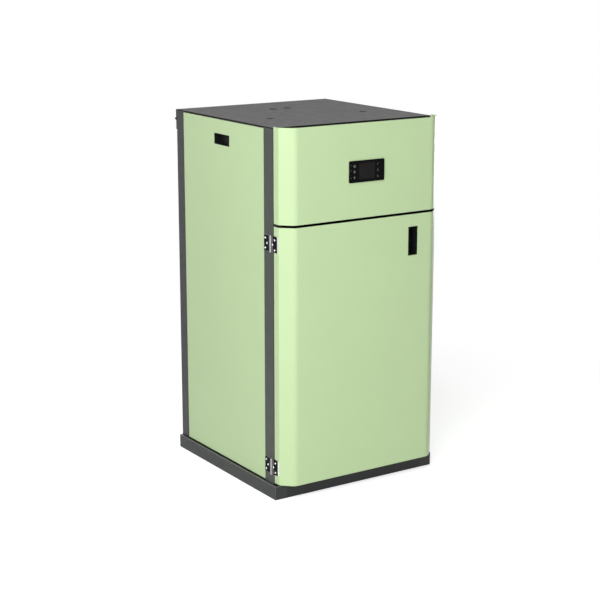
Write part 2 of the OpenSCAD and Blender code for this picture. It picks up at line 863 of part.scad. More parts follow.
module fire_door() {
    color([0.16, 0.16, 0.17]) {
        difference() {
            union() {
                box([-fdoor_x, fdoor_y0 + 8, fire_z - fire_lap + 5],
                    [fdoor_x, fdoor_y1, fire_top + fire_lap - 5]);
                box([-fdoor_x + 22, fdoor_y0, fire_z - fire_lap + 27],
                    [fdoor_x - 22, fdoor_y1, fire_top + fire_lap - 27]);
            }
            ycyl(fgrip_x, fgrip_z, fdoor_y0 - e, fdoor_y1 + e, spindle_r + run);
        }
        for (z = fhinge_zs) difference() {
            union() {
                translate([fhinge_x, fhinge_y, z + gap]) cylinder(h = fire_knuckle, r = 10);
                box([fhinge_x, fhinge_y - 5, z + gap],
                    [-fdoor_x + 1, fhinge_y + 8, z + gap + fire_knuckle]);
            }
            translate([fhinge_x, fhinge_y, z - e]) cylinder(h = 50, r = fire_pin_r + run);
        }
    }
}

module fire_door_gasket() {
    color([0.80, 0.78, 0.72]) translate([0, 0, fire_z + fire_h / 2])
        yslab(fdoor_y1, body_y0 - gap) difference() {
            round_rect(fire_w + 34, fire_h + 26, 14);
            round_rect(fire_w + 10, fire_h + 4, 8);
        }
}

module fire_door_handle() {
    color([0.55, 0.56, 0.57]) {
        ycyl(fgrip_x, fgrip_z, fdoor_y0 - 12, fdoor_y1 - 1, spindle_r);
        ycyl(fgrip_x, fgrip_z, fdoor_y0 - 12, fdoor_y0 - gap, 14);
        translate([fgrip_x, fdoor_y0 - 12, fgrip_z]) {
            translate([-7, -10, -95]) cube([14, 8, 95]);
            rotate([-90, 0, 0]) translate([0, 0, -10]) cylinder(h = 10.5, r = 14);
            translate([0, -6, -118]) cylinder(h = 34, r = 9);
        }
    }
}

module ash_drawer() {
    y0 = body_y0 - 8;
    w = ash_w / 2 - 4;
    z0 = ash_z0 + gap;
    z1 = ash_z0 + ash_h - 8;
    color([0.40, 0.41, 0.42]) {
        difference() {
            box([-w, body_y0 - gap - e, z0], [w, fire_y1 - 6, z1]);
            box([-w + 2, body_y0, z0 + 2], [w - 2, fire_y1 - 8, z1 + e]);
        }
        box([-ash_w / 2 - 12, y0, ash_z0 - 6], [ash_w / 2 + 12, body_y0 - gap, ash_z0 + ash_h + 8]);
        for (x = [-1, 1])
            ycyl(x * 50, ash_z0 + ash_h / 2, y0 - 26, y0 + e, 5);
        xcyl(y0 - 26, ash_z0 + ash_h / 2, -62, 62, 7);
    }
}

module burner_pot() {
    color([0.20, 0.20, 0.21]) translate([0, pot_y, fire_z]) difference() {
        union() {
            translate([-plate_w / 2, -plate_d / 2, 0]) cube([plate_w, plate_d, pot_t]);
            cylinder(h = pot_h + pot_t, r = pot_r);
        }
        translate([0, 0, pot_t + 4]) cylinder(h = pot_h, r = pot_r - pot_t);
        translate([0, 0, -e]) for (a = [0:60:359])
            rotate(a) translate([pot_r / 2, 0, 0]) cylinder(h = 12, r = 4, $fn = 24);
        for (a = [15:30:359])
            rotate(a) translate([0, 0, 52]) rotate([0, 90, 0])
                cylinder(h = pot_r + 5, r = 3, $fn = 24);
        translate([0, 0, igniter_z - fire_z]) rotate([-90, 0, 0])
            cylinder(h = pot_r + 5, r = igniter_r + gap);
    }
}

module igniter() {
    color([0.75, 0.74, 0.70]) {
        ycyl(0, igniter_z, pot_y + pot_r - pot_t + 1, body_y1 + 30, igniter_r);
        ycyl(0, igniter_z, body_y1, body_y1 + 26, igniter_r + 4);
    }
}

// Smoke side

module smoke_cover() {
    color([0.30, 0.30, 0.31]) difference() {
        box([-cover_x, cover_y0, body_z1], [cover_x, body_y1, body_z1 + cover_h]);
        box([-cover_x + 2, cover_y0 + 2, body_z1 - e],
            [cover_x - 2, body_y1 - 2, body_z1 + cover_h - 2]);
        xcyl(shaft_y, shaft_z, -cover_x - e, cover_x + e, shaft_r + run);
    }
}

module turbulators() {
    w = tube_r - 4;
    color([0.50, 0.48, 0.45]) {
        box([tube_xs[0] - tube_r, tube_y - 6, beam_z],
            [tube_xs[3] + tube_r, tube_y + 6, beam_z + 6]);
        for (x = tube_xs)
            translate([x, tube_y, beam_z - turb_l]) sweep([for (i = [0:40])
                [for (q = [[-w, 1], [w, 1], [w, -1], [-w, -1]])
                    let (v = turn(q, 36 * i)) [v.x, v.y, (turb_l + e) * i / 40]]]);
    }
}

module cleaning_lever() {
    color([0.55, 0.55, 0.56]) {
        xcyl(shaft_y, shaft_z, -cover_x - 3, lever_x + 8, shaft_r);
        for (x = [-25, 25])
            box([x - 5, shaft_y, shaft_z - 4], [x + 5, tube_y + 4, beam_z - 0.5]);
        xslab(lever_x, lever_x + 6) {
            translate([shaft_y, shaft_z]) circle(10);
            translate([shaft_y - 150, shaft_z - 6]) square([150, 12]);
        }
        xcyl(shaft_y - 150, shaft_z, lever_x - 1, lever_x + 18, 12);
    }
}

module smoke_box() {
    color([0.30, 0.30, 0.31]) difference() {
        box([-smoke_x, body_y1, ash_z0], [smoke_x, smoke_y1, ash_z0 + smoke_h]);
        box([-smoke_x + 2, body_y1 - e, ash_z0 + 2],
            [smoke_x - 2, smoke_y1 - 2, ash_z0 + smoke_h - 2]);
        ycyl(-fan_x, fan_z, smoke_y1 - 3, smoke_y1 + e, fan_inlet_r);
    }
}

module fan_housing() {
    r = fan_r + 2;
    color([0.42, 0.43, 0.44]) difference() {
        union() {
            ycyl(-fan_x, fan_z, smoke_y1, fan_y1, r);
            box([-fan_x, smoke_y1, fan_z - r], [-20, fan_y1, fan_z - 10]);
        }
        ycyl(-fan_x, fan_z, smoke_y1 + 2, fan_y1 - 2, fan_r);
        box([-fan_x, smoke_y1 + 2, fan_z - fan_r], [-20 + e, fan_y1 - 2, fan_z - 12]);
        ycyl(-fan_x, fan_z, smoke_y1 - e, smoke_y1 + 3, fan_inlet_r);
        ycyl(-fan_x, fan_z, fan_y1 - 3, fan_y1 + e, 10);
    }
}

module fan_impeller() {
    color([0.60, 0.61, 0.62]) {
        ycyl(-fan_x, fan_z, fan_y1 - 14, fan_y1 - 12, fan_r - 8);
        ycyl(-fan_x, fan_z, smoke_y1 + 14, fan_y1 - 12, 10);
        ycyl(-fan_x, fan_z, fan_y1 - 13, fan_y1 + 18, fan_shaft_r);
        translate([-fan_x, 0, fan_z]) for (i = [0:blades - 1])
            rotate([0, i * 360 / blades, 0]) translate([24, 0, 0]) rotate([0, 30, 0])
                box([0, smoke_y1 + 10, -1], [34, fan_y1 - 13, 1]);
    }
}

module fan_motor() {
    color([0.25, 0.25, 0.26]) difference() {
        union() {
            ycyl(-fan_x, fan_z, fan_y1, fan_y1 + 8, fan_r - 10);
            ycyl(-fan_x, fan_z, fan_y1, fan_y1 + fan_motor_l, fan_motor_r);
            for (a = [0:30:359])
                translate([-fan_x, 0, fan_z]) rotate([0, a, 0])
                    box([fan_motor_r - 2, fan_y1 + 8, -1.5],
                        [fan_motor_r + 5, fan_y1 + fan_motor_l - 5, 1.5]);
        }
        ycyl(-fan_x, fan_z, fan_y1 - e, fan_y1 + 24, fan_shaft_r + run);
    }
}

module flue_spigot() {
    z0 = fan_z - fan_r - 2;
    color([0.35, 0.35, 0.36]) difference() {
        union() {
            box([-20, smoke_y1, z0], [flue_x + flue_r + 6, fan_y1, flue_z + flue_r + 6]);
            ycyl(flue_x, flue_z, fan_y1 - e, ry + flue_out, flue_r);
            ycyl(flue_x, flue_z, ry, ry + 2, flue_r + 7);
        }
        box([-18, smoke_y1 + 2, z0 + 2], [flue_x + flue_r + 4, fan_y1 - 2, flue_z + flue_r + 4]);
        box([-21, smoke_y1 + 2, z0 + 2], [-17, fan_y1 - 2, fan_z - 12]);
        ycyl(flue_x, flue_z, fan_y1 - 3, ry + flue_out + e, flue_r - flue_t);
    }
}

// Pellet feed

module funnel(t) {
    w = hop_w / 2 - t;
    o = hop_out / 2 - t;
    intersection() {
        yslab(hop_y0 + t, hop_y1 - t)
            polygon([[-w, hop_z1 + t], [-w, hop_z2], [-hop_out_x - o, hop_z3], [-hop_out_x - o, hop_z4 - t],
                     [-hop_out_x + o, hop_z4 - t], [-hop_out_x + o, hop_z3], [w, hop_z2], [w, hop_z1 + t]]);
        xslab(-w, w)
            polygon([[hop_y0 + t, hop_z1 + t], [hop_y0 + t, hop_z2], [auger_y - o, hop_z3],
                     [auger_y - o, hop_z4 - t], [auger_y + o, hop_z4 - t], [auger_y + o, hop_z3],
                     [hop_y1 - t, hop_z2], [hop_y1 - t, hop_z1 + t]]);
    }
}

module hopper() {
    color([0.62, 0.63, 0.64]) difference() {
        union() {
            funnel(0);
            box([-hop_w / 2 - 12, hop_y0 - 12, hop_z1 - 2], [hop_w / 2 + 12, hop_y1 + 12, hop_z1]);
            box([-hop_out_x - hop_out / 2 - 10, auger_y - hop_out / 2 - 10, hop_z4],
                [-hop_out_x + hop_out / 2 + 10, auger_y + hop_out / 2 + 10, hop_z4 + 3]);
        }
        funnel(sheet_t);
    }
}

module auger_tube() {
    o = hop_out / 2;
    color([0.50, 0.51, 0.52]) difference() {
        union() {
            xcyl(auger_y, auger_z, auger_x0, auger_x1, auger_r);
            xcyl(auger_y, auger_z, auger_x0, auger_x0 + 4, auger_r + 12);
            box([-hop_out_x - o, auger_y - o + 6, auger_z], [-hop_out_x + o, auger_y + o - 6, hop_z4]);
            box([-hop_out_x - o - 10, auger_y - o - 10, hop_z4 - 3],
                [-hop_out_x + o + 10, auger_y + o + 10, hop_z4]);
        }
        xcyl(auger_y, auger_z, auger_x0 + 4, auger_x1 - 4, auger_r - auger_wall);
        xcyl(auger_y, auger_z, auger_x0 - e, auger_x1 + e, auger_shaft_r + run);
        box([-hop_out_x - o + 2, auger_y - auger_r + auger_wall, auger_z],
            [-hop_out_x + o - 2, auger_y + auger_r - auger_wall, hop_z4 + e]);
        box([-chute_w / 2 + 2, auger_y - chute_w / 2 + 8, auger_z - auger_r - e],
            [chute_w / 2 - 2, auger_y + chute_w / 2 - 8, auger_z]);
    }
}

module auger_screw() {
    r = auger_r - auger_wall - auger_gap;
    l = auger_x1 - auger_x0 - 2 * auger_end;
    n = round(l / auger_pitch * 24);
    color([0.66, 0.66, 0.66]) {
        xcyl(auger_y, auger_z, auger_x0 - auger_stub, auger_x1 - 1, auger_shaft_r);
        translate([auger_x0 + auger_end, auger_y, auger_z]) rotate([0, 90, 0])
            sweep([for (i = [0:n])
                [for (q = [[auger_shaft_r - 2, -1.5], [r, -1.5], [r, 1.5], [auger_shaft_r - 2, 1.5]])
                    let (a = 360 * l / auger_pitch * i / n)
                    [q.x * cos(a), q.x * sin(a), q.y + l * i / n]]]);
    }
}

module gear_motor() {
    color([0.30, 0.31, 0.33]) difference() {
        union() {
            box([auger_x0 - 30, auger_y - gear_h / 2 - 10, auger_z - gear_h / 2],
                [auger_x0, auger_y + gear_h / 2, auger_z + gear_h / 2]);
            xcyl(auger_y - 10, auger_z, auger_x0 - 30 - gear_motor_l, auger_x0 - 30, gear_motor_r);
        }
        xcyl(auger_y, auger_z, auger_x0 - auger_stub - 4, auger_x0 + e, auger_shaft_r + run);
    }
}

module drop_chute() {
    color([0.50, 0.51, 0.52]) difference() {
        xslab(-chute_w / 2, chute_w / 2) polygon(chute_line(0, fire_y1 - 12));
        xslab(-chute_w / 2 + 2, chute_w / 2 - 2) union() {
            polygon(chute_line(-2, fire_y1 - 20));
            translate([auger_y - chute_w / 2 + 2, chute_top - 5]) square([chute_w - 4, 10]);
        }
        xcyl(auger_y, auger_z, -chute_w, chute_w, auger_r + gap);
    }
}

// Water side

module water_pipes() {
    color([0.72, 0.60, 0.36]) {
        difference() {
            union() {
                ycyl(pipe_x, flow_z, body_y1, ry + pipe_out, pipe_r);
                ycyl(pipe_x, flow_z, body_y1, body_y1 + 14, pipe_r + 6, $fn = 6);
                ycyl(pipe_x, flow_z, ry, ry + 3, pipe_r + 6);
            }
            ycyl(pipe_x, flow_z, body_y1 - e, ry + pipe_out + e, pipe_bore);
        }
        difference() {
            union() {
                ycyl(pipe_x, return_z, body_y1, pump_y0, pipe_r);
                ycyl(pipe_x, return_z, pump_y0 - 14, pump_y0, pipe_r + 8, $fn = 6);
            }
            ycyl(pipe_x, return_z, body_y1 - e, pump_y0 + e, pipe_bore);
        }
        difference() {
            union() {
                ycyl(pipe_x, return_z, pump_y1, ry + pipe_out, pipe_r);
                ycyl(pipe_x, return_z, pump_y1, pump_y1 + 14, pipe_r + 8, $fn = 6);
                ycyl(pipe_x, return_z, ry, ry + 3, pipe_r + 6);
            }
            ycyl(pipe_x, return_z, pump_y1 - e, ry + pipe_out + e, pipe_bore);
        }
    }
}

module circulation_pump() {
    m = (pump_y0 + pump_y1) / 2;
    color([0.45, 0.12, 0.12]) difference() {
        union() {
            ycyl(pipe_x, return_z, pump_y0, pump_y1, pipe_r + 4);
            ycyl(pipe_x, return_z, pump_y0, pump_y0 + 8, pipe_r + 9);
            ycyl(pipe_x, return_z, pump_y1 - 8, pump_y1, pipe_r + 9);
            xcyl(m, return_z, pipe_x - 26, pipe_x + 22, 36);
            xcyl(m, return_z, pipe_x - 92, pipe_x - 26, 33);
            box([pipe_x - 110, m - 34, return_z - 34], [pipe_x - 92, m + 34, return_z + 34]);
        }
        ycyl(pipe_x, return_z, pump_y0 - e, pump_y1 + e, pipe_bore);
    }
}

// Half section of the vessel, t inside its outer face
module vessel_section(t) {
    b = vessel_bend;
    translate([0, t]) square([vessel_r - b - 4, vessel_d - 2 * t]);
    translate([0, b]) square([vessel_r - 4 - t, vessel_d - 2 * b]);
    for (z = [b, vessel_d - b])
        translate([vessel_r - b - 4, z]) circle(b - t);
}

module expansion_vessel() {
    color([0.60, 0.10, 0.08]) translate([vessel_x, ry - sheet_t, vessel_z]) difference() {
        union() {
            rotate([90, 0, 0]) rotate_extrude() union() {
                vessel_section(0);
                translate([0, vessel_d / 2 - 4]) square([vessel_r, 8]);
            }
            translate([0, -vessel_d / 2, -vessel_r - 14]) cylinder(h = 30, r = 10);
        }
        rotate([90, 0, 0]) rotate_extrude() intersection() {
            vessel_section(2);
            square([vessel_r, vessel_d]);
        }
        translate([0, -vessel_d / 2, -vessel_r - 15]) cylinder(h = 40, r = 7);
    }
}

module control_box() {
    color([0.20, 0.21, 0.22])
        box([hop_w / 2 + control_gap, hop_y0 - 20, deck_z - control_h],
            [sx - pull_d - 2, hop_y0 - 20 + control_d, deck_z]);
}

module mains_inlet() {
    w = inlet_w - 2 * inlet_lap;
    h = inlet_h - 2 * inlet_lap;
    color([0.08, 0.08, 0.09]) translate([inlet_x, 0, inlet_z]) difference() {
        union() {
            yslab(ry, ry + 3) round_rect(inlet_w, inlet_h, 3);
            yslab(ry - 22, ry) square([w, h], center = true);
        }
        difference() {
            yslab(ry - 14, ry + 4) translate([0, 14]) square([24, 18], center = true);
            for (x = [-7, 0, 7])
                yslab(ry - 15, ry - 1) translate([x, 14 + (x == 0 ? 4 : -2)])
                    square([2, 5], center = true);
        }
        yslab(ry - 12, ry + 4) translate([0, rocker_z - inlet_z]) square([20, 24], center = true);
        xcyl(ry - 4, rocker_z - inlet_z, -11.3, 11.3, rocker_r + run);
    }
}

module rocker_switch() {
    color([0.12, 0.12, 0.12]) {
        xslab(inlet_x - 9.5, inlet_x + 9.5) translate([ry - 4, rocker_z]) rotate(-10)
            polygon([[-5, -7], [6.5, -10], [5, 0], [6.5, 10], [-5, 7]]);
        xcyl(ry - 4, rocker_z, inlet_x - 11, inlet_x + 11, rocker_r);
    }
}

plinth();
floor_pan();
front_post_left();
front_post_right();
rear_post_left();
rear_post_right();
front_crossbars();
rear_panel();
top_deck();
side_panel_left();
side_panel_right();
finger_pull_left();
finger_pull_right();
top_lid();
lid_seal();
lid_hinge_brackets();
lid_hinge_straps();
upper_front_panel();
panel_brackets();
display_bezel();
display_screen();
key_1();
key_2();
key_3();
key_4();
key_5();
key_6();
door_shell();
door_liner();
door_handle_cup();
door_hinge_fixed();
door_hinge_moving();
door_hinge_pins();
door_magnet();
fire_door();
fire_door_gasket();
fire_door_handle();
ash_drawer();
boiler_body();
burner_pot();
igniter();
smoke_cover();
turbulators();
cleaning_lever();
smoke_box();
flue_spigot();
fan_housing();
fan_impeller();
fan_motor();
hopper();
auger_tube();
auger_screw();
gear_motor();
drop_chute();
water_pipes();
circulation_pump();
expansion_vessel();
control_box();
mains_inlet();
rocker_switch();
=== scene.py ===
"""Looks of the pellet boiler: materials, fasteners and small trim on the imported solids."""
import json
import math
import random

import bpy
from mathutils import Matrix, Vector


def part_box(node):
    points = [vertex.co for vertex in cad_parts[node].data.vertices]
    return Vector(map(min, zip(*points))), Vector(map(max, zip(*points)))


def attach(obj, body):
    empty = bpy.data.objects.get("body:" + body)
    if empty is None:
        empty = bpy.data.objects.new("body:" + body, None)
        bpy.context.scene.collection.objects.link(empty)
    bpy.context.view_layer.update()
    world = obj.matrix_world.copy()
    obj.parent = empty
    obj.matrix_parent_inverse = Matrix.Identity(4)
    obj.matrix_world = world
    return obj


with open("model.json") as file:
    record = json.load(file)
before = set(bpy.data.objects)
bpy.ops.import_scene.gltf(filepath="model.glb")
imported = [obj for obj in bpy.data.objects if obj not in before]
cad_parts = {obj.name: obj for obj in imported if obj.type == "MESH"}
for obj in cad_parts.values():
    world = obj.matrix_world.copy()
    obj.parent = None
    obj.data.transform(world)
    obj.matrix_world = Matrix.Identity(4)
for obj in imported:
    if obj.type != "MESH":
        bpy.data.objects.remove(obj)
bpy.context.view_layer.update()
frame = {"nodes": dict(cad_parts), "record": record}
NODES = frame["nodes"]
random.seed(7)

# metres, with X to the right of a person facing the front, Y to the rear and Z up
mm = 0.001
X, Y, Z = 0, 1, 2
LEFT, REAR, UP = (-1, 0, 0), (0, 1, 0), (0, 0, 1)
SLIT_Z = 0.884                      # middle of the slit between the door and the upper front panel
SLIT_HALF = 4.1 * mm                # half its height with the painted shade along both edges
FLAT_HALF = 0.265                   # half the width of the door's flat face, between its bevels
HINGE_Z = (0.105, 0.8245)           # middles of the two door hinges
HINGE_HALF = 25 * mm
HINGE_AXIS = (-0.3048, -0.2942)     # X and Y of the middle of the bare part of the hinges
LID_TOP = 1.180
REAR_FACE = 0.300

# ---------------------------------------------------------------- nodes of materials


def srgb(r, g, b):
    """An sRGB colour of 0 to 255 as the linear colour that Blender takes."""
    def lin(c):
        c /= 255
        return c / 12.92 if c <= 0.04045 else ((c + 0.055) / 1.055) ** 2.4
    return (lin(r), lin(g), lin(b), 1)


def scaled(c, k):
    return (c[0] * k, c[1] * k, c[2] * k, 1)


class Mat:
    """A node material with one Principled shader, in the coordinates and normals of its object."""

    def __init__(self, name, **sockets):
        self.m = bpy.data.materials.new(name)
        self.m.use_nodes = True
        self.t = self.m.node_tree
        self.t.nodes.clear()
        out = self.t.nodes.new("ShaderNodeOutputMaterial")
        self.b = self.t.nodes.new("ShaderNodeBsdfPrincipled")
        self.t.links.new(self.b.outputs[0], out.inputs["Surface"])
        for k, v in sockets.items():
            self.set(k.replace("_", " "), v)
        place = self.node("ShaderNodeTexCoord")
        self.coords, self.normals = place.outputs["Object"], place.outputs["Normal"]
        self.flat = self.node("ShaderNodeNewGeometry").outputs["True Normal"]

    def feed(self, socket, value):
        """Link a socket's output to an input, or write a plain value into it."""
        if isinstance(value, bpy.types.NodeSocket):
            self.t.links.new(value, socket)
        else:
            socket.default_value = value

    def set(self, name, value):
        self.feed(self.b.inputs[name], value)

    def node(self, kind, inputs=None, **props):
        n = self.t.nodes.new(kind)
        for k, v in props.items():
            setattr(n, k, v)
        for k, v in (inputs or {}).items():
            self.feed(n.inputs[k], v)
        return n

    def math(self, op, a, b=0.0, c=0.0):
        return self.node("ShaderNodeMath", {0: a, 1: b, 2: c}, operation=op).outputs[0]

    def both(self, a, b):
        """Product of two masks."""
        return self.math("MULTIPLY", a, b)

    def either(self, a, b):
        """Larger of two masks."""
        return self.math("MAXIMUM", a, b)

    def vector(self, op, a, b):
        return self.node("ShaderNodeVectorMath", {0: a, 1: b}, operation=op).outputs[0]

    def dot(self, a, b):
        n = self.node("ShaderNodeVectorMath", {0: a, 1: b}, operation="DOT_PRODUCT")
        return n.outputs["Value"]

    def axis(self, k, of=None):
        """One coordinate of a vector, as a rule of the place."""
        return self.node("ShaderNodeSeparateXYZ", {0: of or self.coords}).outputs[k]

    def near(self, k, middle, reach):
        """1 where coordinate k lies within reach of middle, else 0."""
        return self.math("COMPARE", self.axis(k), middle, reach)

    def outside(self, low, high, margin):
        """1 beyond the margin inside a box's left, right and front faces, else 0."""
        middle, half = (low.x + high.x) / 2, (high.x - low.x) / 2 - margin
        sides = self.math("SUBTRACT", 1.0, self.near(X, middle, half))
        return self.either(sides, self.math("LESS_THAN", self.axis(Y), low.y + margin))

    def stretch(self, x, y, z):
        inputs = {"Vector": self.coords, "Scale": (x, y, z)}
        return self.node("ShaderNodeMapping", inputs).outputs[0]

    def noise(self, scale, detail=3, rough=0.55, vector=None):
        inputs = {"Vector": vector or self.coords, "Scale": scale, "Detail": detail, "Roughness": rough}
        return self.node("ShaderNodeTexNoise", inputs).outputs[0]

    def remap(self, value, low, high, a=0.3, b=0.7):
        """A value that runs from low to high while the given one runs from a to b."""
        return self.node("ShaderNodeMapRange", {0: value, 1: a, 2: b, 3: low, 4: high}).outputs[0]

    def mix(self, fac, a, b):
        n = self.node("ShaderNodeMix", data_type="RGBA")
        for k, v in (("Factor", fac), ("A", a), ("B", b)):
            self.feed([i for i in n.inputs if i.name == k and i.enabled][0], v)
        return [o for o in n.outputs if o.enabled][0]

    def soft(self, radius):
        """Normal with the sharp edges of the solids rounded off."""
        return self.node("ShaderNodeBevel", {"Radius": radius}, samples=4).outputs[0]

    def bump(self, height, strength, distance, normal=None):
        n = self.node("ShaderNodeBump", {"Height": height, "Strength": strength, "Distance": distance})
        if normal is not None:
            self.t.links.new(normal, n.inputs["Normal"])
        return n.outputs[0]

    def done(self, normal):
        self.set("Normal", normal)
        return self.m


def powder_coat(name, color, rough=0.36, vary=0.02, peel=0.35, edge=0.9 * mm, coat=0.15, grain=700,
                gloss=0.5, painted_light=None):
    """Baked powder paint on sheet: orange peel, faint cloudiness and rounded edges.

    The last argument is a function that paints shade and highlights into the colour along slits, edges and
    rims and on the rear posts.
    """
    p = Mat(name, Metallic=0.0, Coat_Weight=coat, Coat_Roughness=0.12, Specular_IOR_Level=gloss)
    cloud = p.noise(6, 4)
    fine = p.noise(180, 2)
    c = p.mix(p.remap(cloud, 0, 1), scaled(color, 1 - vary), scaled(color, 1 + vary))
    c = p.mix(p.remap(fine, 0.0, 0.35), c, scaled(color, 0.97))
    # shade and highlights painted into the colour by position
    if painted_light:
        c = painted_light(p, c)
    p.set("Base Color", c)
    p.set("Roughness", p.remap(p.noise(35, 5), rough - 0.05, rough + 0.06))
    return p.done(p.bump(p.noise(grain, 2, 0.4), peel, 0.06 * mm, p.soft(edge)))


def shell_slit_shade(p, c):
    """Painted shade: black along the slit between the front shells and, beside it, on their inner faces.
    """
    from_middle = p.vector("ADD", p.coords, (0, 0.25, 0))
    from_middle = p.vector("MULTIPLY", from_middle, (1, 1, 0))
    inward = p.math("LESS_THAN", p.dot(from_middle, p.normals), -0.01)
    inward = p.both(inward, p.near(Z, SLIT_Z, 0.05))
    # painted shade in the slit and on the inner faces near it
    painted_shade = p.either(inward, p.near(Z, SLIT_Z, SLIT_HALF))
    front = p.math("LESS_THAN", p.axis(Y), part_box("side_panel_left")[0].y)
    return p.mix(p.both(painted_shade, front), c, (0.004, 0.004, 0.004, 1))


def liner_slit_shade(p, c):
    """Painted shade: black behind the slit between the door and the upper front panel."""
    return p.mix(p.near(Z, SLIT_Z, 0.03), c, (0.003, 0.003, 0.0033, 1))


def post_rear_shade(p, c):
    """Painted shade: the rear posts are darker than the front ones."""
    return p.mix(p.math("GREATER_THAN", p.axis(Y), 0.0), c, srgb(55, 54, 55))


def lid_edge_shade(p, c):
    """Painted shade: nearly black along the lid's front and side edges, over the gap beneath them."""
    return p.mix(p.outside(*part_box("top_lid"), 3 * mm), c, (0.003, 0.004, 0.003, 1))


def plinth_shade_and_highlight(p, c):
    """Painted shade and highlights: a shaded ledge round the cabinet, a shadow strip and a shaded front
    under the door, and light painted on the rim and the rounded corners.
    """
    painted_shade, painted_highlight = (0.009, 0.010, 0.009, 1), srgb(134, 136, 133)
    up = p.math("GREATER_THAN", p.axis(Z, p.normals), 0.5)
    ahead = p.math("LESS_THAN", p.axis(Y, p.normals), -0.5)
    in_width = p.near(X, 0.0, FLAT_HALF)
    under_door = p.both(ahead, in_width)
    shadow_band = p.both(under_door, p.remap(p.axis(Z), 0, 0.8, 0.036, 0.042))
    # painted shade: the front under the door darker, the ledge and the top of that front nearly black
    c = p.mix(p.both(under_door, 0.45), c, painted_shade)
    c = p.mix(p.either(up, shadow_band), c, painted_shade)
    # painted highlight on the rounded edges and the outer rim, patchy by noise, kept off the top under the
    # door
    edge_highlight = p.remap(p.dot(p.soft(3.5 * mm), p.flat), 0.8, 0, 0.75, 0.97)
    rim = p.both(up, p.outside(*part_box("plinth"), 5 * mm))
    out_of_door_shade = p.math("SUBTRACT", 1.0, p.both(up, in_width))
    highlight_mask = p.both(p.either(edge_highlight, rim), out_of_door_shade)
    return p.mix(p.both(highlight_mask, p.remap(p.noise(45, 4), 0.6, 1.0)), c, painted_highlight)


def galvanised(name, tone):
    """Zinc sheet with a soft spangle."""
    p = Mat(name, Metallic=0.9)
    cells = p.node("ShaderNodeTexVoronoi", {"Vector": p.coords, "Scale": 110.0}).outputs["Color"]
    grey = p.node("ShaderNodeRGBToBW", {0: cells}).outputs[0]
    c = p.mix(p.remap(grey, 0, 1, 0, 1), scaled(tone, 0.80), scaled(tone, 1.18))
    dust = p.remap(p.noise(9, 5), 0.0, 0.4, 0.45, 0.8)
    p.set("Base Color", p.mix(dust, c, scaled(tone, 0.62)))
    p.set("Roughness", p.remap(grey, 0.30, 0.52, 0, 1))
    return p.done(p.bump(p.noise(300, 3), 0.15, 0.1 * mm, p.soft(0.6 * mm)))


def cast(name, tone):
    """Cast iron with a sandy skin and rusty patches."""
    p = Mat(name, Metallic=0.55)
    skin = p.noise(420, 5, 0.65)
    patch = p.noise(22, 4)
    c = p.mix(p.remap(skin, 0, 1), scaled(tone, 0.7), scaled(tone, 1.5))
    p.set("Base Color", p.mix(p.remap(patch, 0.0, 0.3, 0.5, 0.75), c, (0.075, 0.06, 0.05, 1)))
    p.set("Roughness", p.remap(patch, 0.55, 0.75))
    return p.done(p.bump(skin, 0.5, 0.4 * mm, p.soft(1.5 * mm)))


def sooty(name, tone, amount=0.55):
    """Heat-proof paint on thick sheet, darkened in patches."""
    p = Mat(name, Metallic=0.1, Specular_IOR_Level=0.4)
    big = p.noise(7, 6, 0.6)
    fine = p.noise(240, 3)
    c = p.mix(p.remap(fine, 0, 1), scaled(tone, 0.85), scaled(tone, 1.15))
    p.set("Base Color", p.mix(p.remap(big, 0.0, amount, 0.45, 0.75), c, (0.012, 0.011, 0.011, 1)))
    p.set("Roughness", p.remap(big, 0.5, 0.75))
    return p.done(p.bump(fine, 0.3, 0.18 * mm, p.soft(1.0 * mm)))


def brushed(name, tone, along, rough, metallic=1.0):
    """Drawn or brushed metal with fine lines along one axis."""
    p = Mat(name, Metallic=metallic)
    s = {"x": (12, 900, 900), "y": (900, 12, 900), "z": (900, 900, 12)}[along]
    lines = p.noise(1.0, 4, 0.6, p.stretch(*s))
    smear = p.noise(25, 4)
    c = p.mix(p.remap(lines, 0, 1), scaled(tone, 0.84), scaled(tone, 1.1))
    p.set("Base Color", p.mix(p.remap(smear, 0.0, 0.35, 0.5, 0.8), c, scaled(tone, 0.7)))
    p.set("Roughness", p.remap(lines, rough - 0.06, rough + 0.12))
    return p.done(p.bump(lines, 0.12, 0.08 * mm, p.soft(0.5 * mm)))


def polished(name, tone, rough):
    """Bright metal with wiped marks."""
    p = Mat(name, Metallic=1.0)
    wipe = p.noise(60, 4)
    p.set("Base Color", p.mix(p.remap(wipe, 0, 1), scaled(tone, 0.92), tone))
    p.set("Roughness", p.remap(p.noise(140, 4), rough - 0.03, rough + 0.08))
    return p.done(p.bump(p.noise(420, 2), 0.05, 0.05 * mm, p.soft(0.4 * mm)))


def moulded(name, tone, rough=0.45, grain=1300, depth=0.25, gloss=0.3):
    """Moulded plastic with a spark-eroded grain."""
    p = Mat(name, Metallic=0.0, Specular_IOR_Level=gloss)
    skin = p.noise(grain, 2, 0.5)
    wear = p.noise(30, 4)
    p.set("Base Color", p.mix(p.remap(wear, 0, 1), scaled(tone, 0.85), scaled(tone, 1.2)))
    p.set("Roughness", p.remap(wear, rough - 0.06, rough + 0.08))
    return p.done(p.bump(skin, depth, 0.08 * mm, p.soft(0.6 * mm)))


def rubbery(name, tone):
    """Dull rubber with a fine skin."""
    p = Mat(name, Metallic=0.0, Specular_IOR_Level=0.3)
    cells = p.noise(600, 3)
    p.set("Base Color", p.mix(p.remap(cells, 0, 1), scaled(tone, 0.6), scaled(tone, 1.6)))
    p.set("Roughness", p.remap(p.noise(50, 3), 0.75, 0.9))
    return p.done(p.bump(cells, 0.4, 0.3 * mm, p.soft(1.0 * mm)))


